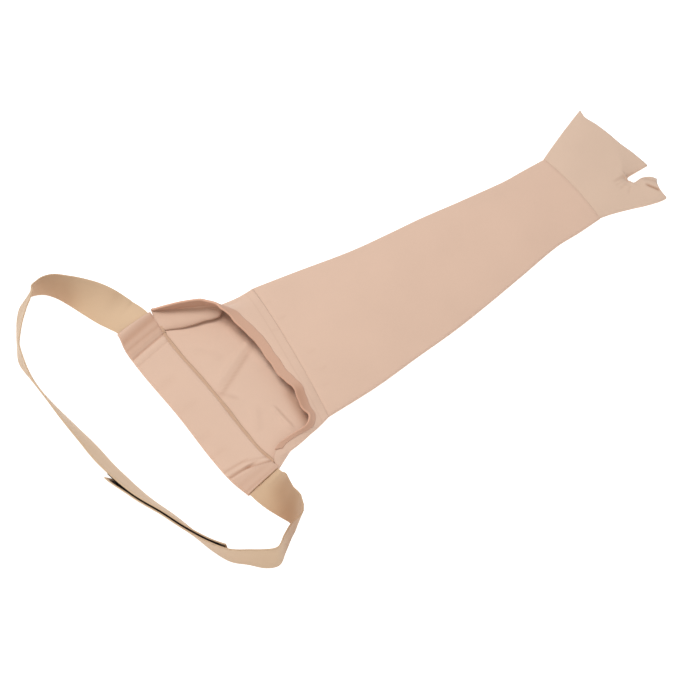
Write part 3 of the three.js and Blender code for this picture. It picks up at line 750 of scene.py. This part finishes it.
def hem_place(along, turn):
    fold = 2 * CASING_MIDDLE
    side, height = flat_section(turn, STRAP_WIDTH / 2 + CASING_EDGE, fold, fold + CASING_CROWN, 0.2)
    length = lerp(NEAR_END, HEM_FAR_END, along)
    return strap_point(length, STRAP_WIDTH / 2 + side, CASING_MIDDLE - height)


# Creases of the casing: from and to in plan, half width and rise, in mm, and painted shade along them (below
# 0 a painted highlight)
HEM_CREASES = (
    ((-350, 70), (-240, 94), 1.2, -1.2, 0.5),
    ((-350, 75), (-240, 99), 3.2, 1.3, 0),
    ((-350, 65), (-240, 89), 2.6, 0.7, 0),
    ((-345, 61), (-245, 83), 1.3, -0.5, 0.12),
    ((-350, 92), (-230, 118), 3.6, -1.3, 0.24),
    ((-340, 85), (-240, 104), 1.8, -0.5, 0.16),
    ((-350, 102), (-230, 127), 3, 1.2, -0.3),
    ((-330, -88), (-272, -88.5), 1.2, -1.3, 0.55),
    ((-292, -87), (-258, -97), 1.2, -1.2, 0.5),
    ((-330, -80), (-276, -81), 1.2, -0.7, 0.28),
    ((-290, -80), (-258, -91), 1.1, -0.5, 0.2),
    ((-345, -103), (-250, -93), 3.6, 1.4, 0),
    ((-330, -84.5), (-255, -87), 1.6, 0.6, 0),
    ((-345, -118), (-245, -100), 1.6, -0.7, 0.14),
    ((-322, 32), (-284, 38), 5, -0.5, 0.05),
    ((-325, -38), (-290, -36), 6, -0.5, 0.05),
    ((-318, -2), (-280, 2), 4, -0.35, 0.04),
    ((-324, -62), (-286, -60), 4, -0.45, 0.05),
)


# Where the gathered ends begin in the middle of the casing, how far their lines slant across it, how
# soon they are whole, in mm, and how deep the painted shade is there
HEM_MIDDLE_X = -295
FAR_GATHER = dict(side=1, start=82, slant=0.22, painted_shading=0.36)
NEAR_GATHER = dict(side=-1, start=90, slant=0.05, painted_shading=0.2)
GATHER_BLEND = 4


def gathered(point, side, start, slant, painted_shading):
    """The painted shade that one gathered end gives a point."""
    past = side * point.y / MM - slant * (point.x / MM - HEM_MIDDLE_X) - start
    return painted_shading * smooth(past / GATHER_BLEND)


def hem_painted_shade(point):
    """Painted shade at both ends of the casing, where the knit is drawn together."""
    return gathered(point, **FAR_GATHER) + gathered(point, **NEAR_GATHER)


hem_mesh = bmesh.new()
HEM_GIRTH = 2 * (STRAP_WIDTH + 2 * CASING_EDGE)
add_patch(hem_mesh, 300, 56, hem_place, lambda along, turn: (along * CASING_LENGTH, turn * HEM_GIRTH))
hem = cloth_object(
    "hem_casing", hem_mesh, sleeve_knit, KNIT_WALL, creases=HEM_CREASES, swaying=0.5 * MM, painted_shading=hem_painted_shade,
)
stand_in(hem, "hem_band")


# Hem seam. The seam allowance of the cap's back and the casing, overlocked with yarn into a narrow
# ridge that lies on the back, beside the casing.
RIDGE_WIDTH = 4.4 * MM
RIDGE_HEIGHT = 2.4 * MM
RIDGE_END = 0.012
RIDGE_TAPER = 0.02
RIDGE_SWAY = 0.9 * MM
RIDGE_WAVES = 9
SEAM_LAP = 1 * MM
OVERLOCK_STITCH = 1.7 * MM
OVERLOCK_RELIEF = 0.1
overlock_thread = knit_material("overlock_thread", paint(205, 170, 143), course=0.8 * MM)


def hem_edge(share, beyond, height):
    """A point beside the casing on the cap's side, from the near end of the hem at 0 to the far end."""
    length = lerp(NEAR_END, HEM_FAR_END, share)
    point = strap_point(length, STRAP_WIDTH + CASING_EDGE + beyond, 0)
    return Vector((point.x, point.y, height))


def ridge_place(along, across):
    bend = math.pi * across
    loops = math.sin(2 * math.pi * along * CASING_LENGTH / OVERLOCK_STITCH + 2 * across)
    beyond = RIDGE_WIDTH / 2 * (1 - math.cos(bend)) - SEAM_LAP
    beyond += sway(Vector((along * RIDGE_WAVES, 0, 0)), RIDGE_SWAY, 1)
    tapered = smooth(along / RIDGE_TAPER) * smooth((1 - along) / RIDGE_TAPER)
    round_over = (1 + OVERLOCK_RELIEF * loops) * math.sin(bend) ** 0.5 * tapered
    return hem_edge(lerp(RIDGE_END, 1 - RIDGE_END, along), beyond, KNIT_WALL + RIDGE_HEIGHT * round_over)


RIDGE_FOOT = RIDGE_HEIGHT / 1.3
RIDGE_FOOT_TONE = 0.9


def ridge_tone(point):
    """The ridge's foot lies in shade on both sides."""
    return RIDGE_FOOT_TONE * (1 - smooth((point.z - KNIT_WALL) / RIDGE_FOOT))


ridge_mesh = bmesh.new()
add_patch(
    ridge_mesh, 620, 12, ridge_place,
    lambda along, across: (along * CASING_LENGTH, across * 2 * RIDGE_WIDTH),
)
ridge = cloth_object("seam_ridge", ridge_mesh, overlock_thread, 0.5 * MM, painted_shading=ridge_tone)
stand_in(ridge, "hem_seam")


# Shoulder cap. The knit goes on from the arm; its front is short and scooped, its sides stand up as
# low soft walls, and its back runs on flat to the hem.
CAP_WIDTH = 170 * MM
RIM_HEIGHT = 27 * MM
CAP_MIDDLE = KNIT_WALL / 2
KNEE_PULL = 1.6
BACK_REACH = 0.97
NEAR_CORNER = 0.585
FAR_CORNER = 0.94
BACK_STEPS = 24
RIM_SWAY = 0.022
RIM_WAVES = 38

# Ribs of the cap round the sleeve's section: the rim's point and the knee that the rib bends towards,
# each along the cap, sideways and up
CAP_ROWS = (
    (-0.035, (0.985, 1.36, 0.27), (0.62, 1, 0.13)),
    (-0.01, (0.86, 1.25, 0.64), (0.58, 0.95, 0.14)),
    (0.02, (0.67, 1.12, 0.9), (0.5, 0.9, 0.14)),
    (0.05, (0.51, 1, 0.97), (0.38, 0.87, 0.16)),
    (0.08, (0.4, 0.87, 0.87), (0.26, 0.82, 0.32)),
    (0.12, (0.35, 0.71, 0.69), (0.19, 0.71, 0.5)),
    (0.17, (0.31, 0.45, 0.56), (0.16, 0.45, 0.57)),
    (0.22, (0.28, 0.22, 0.52), (0.14, 0.21, 0.56)),
    (0.27, (0.3, -0.06, 0.52), (0.15, -0.08, 0.56)),
    (0.32, (0.3, -0.35, 0.54), (0.15, -0.36, 0.55)),
    (0.37, (0.27, -0.55, 0.54), (0.15, -0.57, 0.5)),
    (0.41, (0.33, -0.73, 0.52), (0.2, -0.73, 0.44)),
    (0.428, (0.33, -0.8, 0.52), (0.22, -0.8, 0.38)),
    (0.45, (0.32, -0.91, 0.47), (0.26, -0.93, 0.27)),
    (0.475, (0.41, -1.0, 0.41), (0.33, -1.06, 0.17)),
    (0.5, (0.62, -1, 0.35), (0.42, -1.1, 0.14)),
    (0.53, (0.8, -1.02, 0.3), (0.55, -1.14, 0.14)),
    (0.56, (0.93, -1.13, 0.2), (0.6, -1.15, 0.14)),
)


def cap_rows():
    """The ribs of the table, closed round the back by ribs that end at the hem."""
    rows = [dict(round=at, rim=Vector(rim), knee=Vector(knee)) for at, rim, knee in CAP_ROWS]
    for step in range(BACK_STEPS + 1):
        seam = hem_edge(step / BACK_STEPS, -SEAM_LAP, CAP_MIDDLE)
        rim = Vector(((CAP_SEAM_X - seam.x) / CAP_LENGTH, seam.y / (CAP_WIDTH / 2), CAP_MIDDLE / RIM_HEIGHT))
        knee = Vector((rim.x / 2, min(max(rim.y, -BACK_REACH), BACK_REACH), rim.z))
        rows.append(dict(round=lerp(NEAR_CORNER, FAR_CORNER, step / BACK_STEPS), rim=rim, knee=knee))
    return [dict(rows[-1], round=FAR_CORNER - 1), *rows]


closed_cap_rows = cap_rows()

# The lower part of the far wall folds in over the back: how far, and how high the rim stands, at
# places along the cap, in mm
FOLD_IN_ROWS = (
    dict(x=-274, inward=20, rim=8),
    dict(x=-268, inward=22, rim=8.6),
    dict(x=-261, inward=22, rim=12.5),
    dict(x=-254, inward=21, rim=17.5),
    dict(x=-246, inward=18.5, rim=21.5),
    dict(x=-238, inward=16, rim=24),
    dict(x=-230, inward=13.5, rim=25),
    dict(x=-222, inward=12.5, rim=26),
    dict(x=-215, inward=10.5, rim=26),
    dict(x=-209, inward=4, rim=26),
    dict(x=-204, inward=0, rim=26),
)
FOLD_IN_ENDS = FOLD_IN_ROWS[0]["x"], FOLD_IN_ROWS[-1]["x"]
FOLD_IN_SIDE = 45
FOLD_IN_BLEND = 36
FOLD_SHADE_SIDE = 66

# The corner of the hem holds the fold, and beside the hem it runs along the seam, mm
SEAM_CORNER_Y = 117
SEAM_HOLD = 6
SEAM_HOLD_X = -267
SEAM_SLANT = 0.19
SEAM_SLANT_X = -256
SEAM_SLANT_BLEND = 16

# The share of that fold at heights of the wall, from the floor at 0 to the rim at 1, and how deep the
# painted shade is: a shelf above a lip, hollow below it
FOLD_IN_HEIGHTS = (
    dict(up=0, inward=0.55, painted_shading=0.5),
    dict(up=0.08, inward=0.9, painted_shading=0.5),
    dict(up=0.17, inward=1, painted_shading=0.38),
    dict(up=0.23, inward=0.88, painted_shading=0.26),
    dict(up=0.29, inward=0.6, painted_shading=0.1),
    dict(up=0.35, inward=0.28, painted_shading=0.12),
    dict(up=0.42, inward=0, painted_shading=0.34),
    dict(up=0.52, inward=-0.13, painted_shading=0.4),
    dict(up=0.65, inward=-0.05, painted_shading=0.2),
    dict(up=0.8, inward=0, painted_shading=0.1),
    dict(up=2, inward=0, painted_shading=0.1),
)

# Creases of the flat back, with painted shade in them and under the front rim, which fade out
# towards its ends and up its sides, mm
BACK_ENDS = -266, -182
BACK_END_BLEND = 10
BACK_TOP = 4
BACK_TOP_BLEND = 3
BACK_CREASES = (
    ((-200, 36), (-272, 1), 3.2, 2.2, 0),
    ((-203, 27), (-271, -9), 2.2, 0, 0.32),
    ((-229, -40), (-226, -80), 2.2, 1.6, 0),
    ((-226, -42), (-223, -78), 1.3, 0, 0.16),
    ((-216, 92), (-203, 10), 6, 0, 0.3),
    ((-203, -26), (-212, -96), 6, 0, 0.6),
    ((-270, 9), (-249, -20), 1.8, 1.1, 0.14),
    ((-216, 70), (-207, 0), 4, 1.6, 0),
    ((-225, 40), (-262, 36), 6, 0.9, 0),
    ((-240, -30), (-258, -62), 5, 1.1, 0.03),
    ((-262, 60), (-236, 30), 4, 0.8, 0.03),
)

# The cap seam's groove, the second line of stitches beside it, and small gathers, with painted shade along
# each
CAP_CREASES = (
    CAP_SEAM_GROOVE,
    ((-221, -254), (-155, 253), 0.8, -0.35, 0.1),
    ((-186, -14), (-176, -18), 1.4, -0.4, 0.05),
    ((-187, 24), (-174, 20), 1.5, -0.4, 0.05),
    ((-184, -60), (-176, -58), 1.4, -0.4, 0.05),
    ((-176, 64), (-170, 60), 1.4, -0.3, 0.04),
)


def wall_height(point):
    """The share of the far wall's height that a point lies at."""
    return (point.z - CAP_MIDDLE) / MM / read_rows(FOLD_IN_ROWS, "x", point.x / MM, "rim")


def draped(point):
    """The cap's cloth with the fold of its far wall and the creases of its back."""
    x, y, z = point / MM
    if FOLD_IN_ENDS[0] < x < FOLD_IN_ENDS[1] and y > FOLD_IN_SIDE:
        inward = read_rows(FOLD_IN_ROWS, "x", x, "inward")
        inward *= read_rows(FOLD_IN_HEIGHTS, "up", max(wall_height(point), 0), "inward")
        held = smooth((SEAM_HOLD_X - x) / SEAM_HOLD) * (1 - smooth((SEAM_CORNER_Y - y) / SEAM_HOLD))
        inward *= smooth((y - FOLD_IN_SIDE) / FOLD_IN_BLEND) * (1 - held)
        y -= inward
        x -= inward * SEAM_SLANT * smooth((SEAM_SLANT_X - x) / SEAM_SLANT_BLEND)
    point = Vector((x, y, z)) * MM
    flatness = smooth((BACK_TOP - z) / BACK_TOP_BLEND)
    flatness *= smooth((x - BACK_ENDS[0]) / BACK_END_BLEND) * smooth((BACK_ENDS[1] - x) / BACK_END_BLEND)
    if flatness:
        point.z += flatness * crease_sum(BACK_CREASES, point, 3) * MM
    return point


def cap_end(around, name):
    """A rib's rim or knee. The rim sways along its front."""
    within = around % 1
    within = within - 1 if within > FAR_CORNER else within
    along, side, up = read_rows(closed_cap_rows, "round", within, name)
    if name == "rim":
        front = smooth(within / 0.05) * smooth((0.52 - within) / 0.05)
        along += sway(Vector((within * RIM_WAVES, 0, 0)), RIM_SWAY, 1) * front
    return Vector((
        CAP_SEAM_X - CAP_LENGTH * along, CAP_WIDTH / 2 * side, max(RIM_HEIGHT * up, CAP_MIDDLE),
    ))


def cap_start(around):
    """Where a rib leaves the cap seam, in the middle of the cloth."""
    half, middle, rise = arm_size(0)
    across = math.cos(2 * math.pi * around)
    inset = half - CAP_MIDDLE
    height = section_height(
        inset * across, inset, FOLD - KNIT_WALL, rise - KNIT_WALL, math.sin(2 * math.pi * around) > 0,
    )
    x = CAP_SEAM_X + CAP_SEAM_SLANT / 2 * across
    return Vector((x, middle + inset * across, height + CAP_MIDDLE))


rib_ends = {}


def rib(around):
    if around not in rib_ends:
        rib_ends[around] = cap_start(around), cap_end(around, "knee"), cap_end(around, "rim")
    return rib_ends[around]


def cap_place(around, along):
    """The middle of the cap's cloth, from the cap seam at 0 to its edge at 1, and straight on past it."""
    start, knee, rim = rib(around)
    t = min(along, 1)
    start_share, knee_share, rim_share = (1 - t) ** 2, 2 * KNEE_PULL * t * (1 - t), t * t
    total = start_share + knee_share + rim_share
    point = (start * start_share + knee * knee_share + rim * rim_share) / total
    return draped(point + (rim - knee) * (2 * KNEE_PULL * (along - t)))


def cap_normal(around, along, step=0.01):
    held = min(along, 1)
    inner = max(held - step, 0)
    forward = cap_place(around, inner + step) - cap_place(around, inner)
    sideways = cap_place(around + step, held) - cap_place(around - step, held)
    return sideways.cross(forward).normalized()


def cap_point(around, along, outward=0):
    point = cap_place(around, along)
    if outward:
        point += cap_normal(around, along) * outward
    point.z = max(point.z, CAP_MIDDLE)
    return point


FAR_WALL_END = 0.09
FAR_WALL_COLUMNS = 0.3


def cap_around(share):
    """The place round the section for a share of the cap's columns, closer together in the far wall."""
    start = FAR_CORNER - 1
    if share < FAR_WALL_COLUMNS:
        return lerp(start, FAR_WALL_END, share / FAR_WALL_COLUMNS)
    return lerp(FAR_WALL_END, start + 1, (share - FAR_WALL_COLUMNS) / (1 - FAR_WALL_COLUMNS))


LAID_FLAT = 1.5
BACK_DEPTH = 3
BACK_FRONT_X = -200


def cap_painted_shade(point):
    """Painted shade in the far wall's fold, along the seam and gathers on the front, or in the back's
    creases and under the rim.
    """
    x, y, z = point / MM
    if FOLD_IN_ENDS[0] < x < FOLD_IN_ENDS[1] and y > FOLD_SHADE_SIDE and z > LAID_FLAT:
        return read_rows(FOLD_IN_HEIGHTS, "up", max(wall_height(point), 0), "painted_shading")
    if z > BACK_DEPTH:
        return crease_sum(CAP_CREASES, point, 4)
    return crease_sum(BACK_CREASES, point, 4) if x < BACK_FRONT_X else 0


CAP_BACK_LENGTH = CAP_LENGTH + 8 * MM
CAP_GIRTH = 2 * CAP_WIDTH
cap_mesh = bmesh.new()
add_patch(
    cap_mesh, 60, 330,
    lambda along, share: cap_point(cap_around(share), along),
    lambda along, share: (along * CAP_BACK_LENGTH, cap_around(share) * CAP_GIRTH),
)
cap = cloth_object("cap_cloth", cap_mesh, sleeve_knit, KNIT_WALL, offset=0, painted_shading=cap_painted_shade)
stand_in(cap, "shoulder_cap")


# Rim binding. A folded strip of knit that clasps the edge of the opening, from one corner of the hem
# round the front to the other.
BINDING_WIDTH = 12 * MM
BINDING_THICKNESS = 0.8 * MM
BINDING_TUCK = 1.4 * MM
BINDING_START = 1.4 / 42
BINDING_END = 39 / 42

# Where round the section the binding narrows towards its two ends, how soon, and by what share
FAR_NARROWING = dict(start=0.012, blend=0.028, share=0.5)
NEAR_NARROWING = dict(start=0.42, blend=0.07, share=0.4)
# The binding has a painted highlight along its fold
binding_knit = knit_material(
    "binding_knit", paint(207, 165, 141), course=0.8 * MM, highlight_fold=BINDING_WIDTH,
)


def binding_place(along, across):
    """Across runs up the inner face, round the rim and down the outer face."""
    around = lerp(FAR_CORNER - 1, NEAR_CORNER, lerp(BINDING_START, BINDING_END, along))
    radius = (KNIT_WALL + BINDING_THICKNESS) / 2
    narrowed = sum(
        end["share"] * smooth((side * around - end["start"]) / end["blend"])
        for side, end in ((-1, FAR_NARROWING), (1, NEAR_NARROWING))
    )
    flank, arc = BINDING_WIDTH * (1 - narrowed), math.pi * radius
    run = across * (2 * flank + arc)
    from_cut = min(run, 2 * flank + arc - run)
    held_down = (BINDING_THICKNESS - 0.1 * MM) * (1 - smooth(from_cut / BINDING_TUCK))
    if run < flank:
        back, outward = flank - run, held_down - radius
    elif run > flank + arc:
        back, outward = run - flank - arc, radius - held_down
    else:
        turn = (run - flank) / radius
        back, outward = -radius * math.sin(turn), -radius * math.cos(turn)
    knee, rim = rib(around)[1:]
    pull = 2 * KNEE_PULL * (rim - knee).length
    return cap_point(around, 1 - back / pull, outward)


# Painted shade on the binding inside both ends of the opening, where it is drawn in
BINDING_PAINTED_SHADE = (
    ((-300, 118), (-205, 82), 9, 0, 0.25),
    ((-196, -40), (-224, -92), 8, 0, 0.4),
)
BINDING_LENGTH = 280 * MM
BINDING_CUT = 2 * BINDING_WIDTH
binding_mesh = bmesh.new()
add_patch(
    binding_mesh, 260, 56, binding_place,
    lambda along, across: (along * BINDING_LENGTH, across * BINDING_CUT),
)
binding = cloth_object(
    "rim_strip", binding_mesh, binding_knit, BINDING_THICKNESS, offset=0,
    painted_shading=lambda point: crease_sum(BINDING_PAINTED_SHADE, point, 4),
)
stand_in(binding, "rim_binding")


# Studio. A plain pale floor that glows a little, and broad soft lamps, so that hardly a shadow is
# left round the sleeve.
FLOOR_SIZE = 12
bpy.ops.mesh.primitive_plane_add(size=FLOOR_SIZE)
floor = bpy.context.object
floor.name = "floor"
floor_paint = Nodes("floor_paint")
floor_paint.shader.inputs["Base Color"].default_value = (0.45, 0.45, 0.45, 1)
floor_paint.shader.inputs["Roughness"].default_value = 0.9
floor_paint.shader.inputs["Emission Color"].default_value = (1, 1, 1, 1)
floor_paint.shader.inputs["Emission Strength"].default_value = 0.95
floor.data.materials.append(floor_paint.material)

world = bpy.data.worlds.new("studio")
bpy.context.scene.world = world
world.use_nodes = True
world.node_tree.nodes["Background"].inputs["Color"].default_value = (1, 1, 1, 1)
world.node_tree.nodes["Background"].inputs["Strength"].default_value = 0.42


def lamp(name, azimuth, elevation, distance, size, power):
    """A soft square lamp that faces the sleeve, with its angles in degrees and its sizes in metres."""
    back = direction(math.radians(azimuth), math.radians(elevation))
    data = bpy.data.lights.new(name, "AREA")
    data.size, data.energy = size, power
    light = bpy.data.objects.new(name, data)
    light.location = CAMERA_TARGET + distance * back
    light.rotation_mode = "QUATERNION"
    light.rotation_quaternion = (-back).to_track_quat("-Z", "Y")
    bpy.context.collection.objects.link(light)


lamp("key", azimuth=-150, elevation=72, distance=2.2, size=1.0, power=28)
lamp("fill", azimuth=-20, elevation=45, distance=2.4, size=1.6, power=6)
bpy.context.scene.view_settings.view_transform = "Standard"
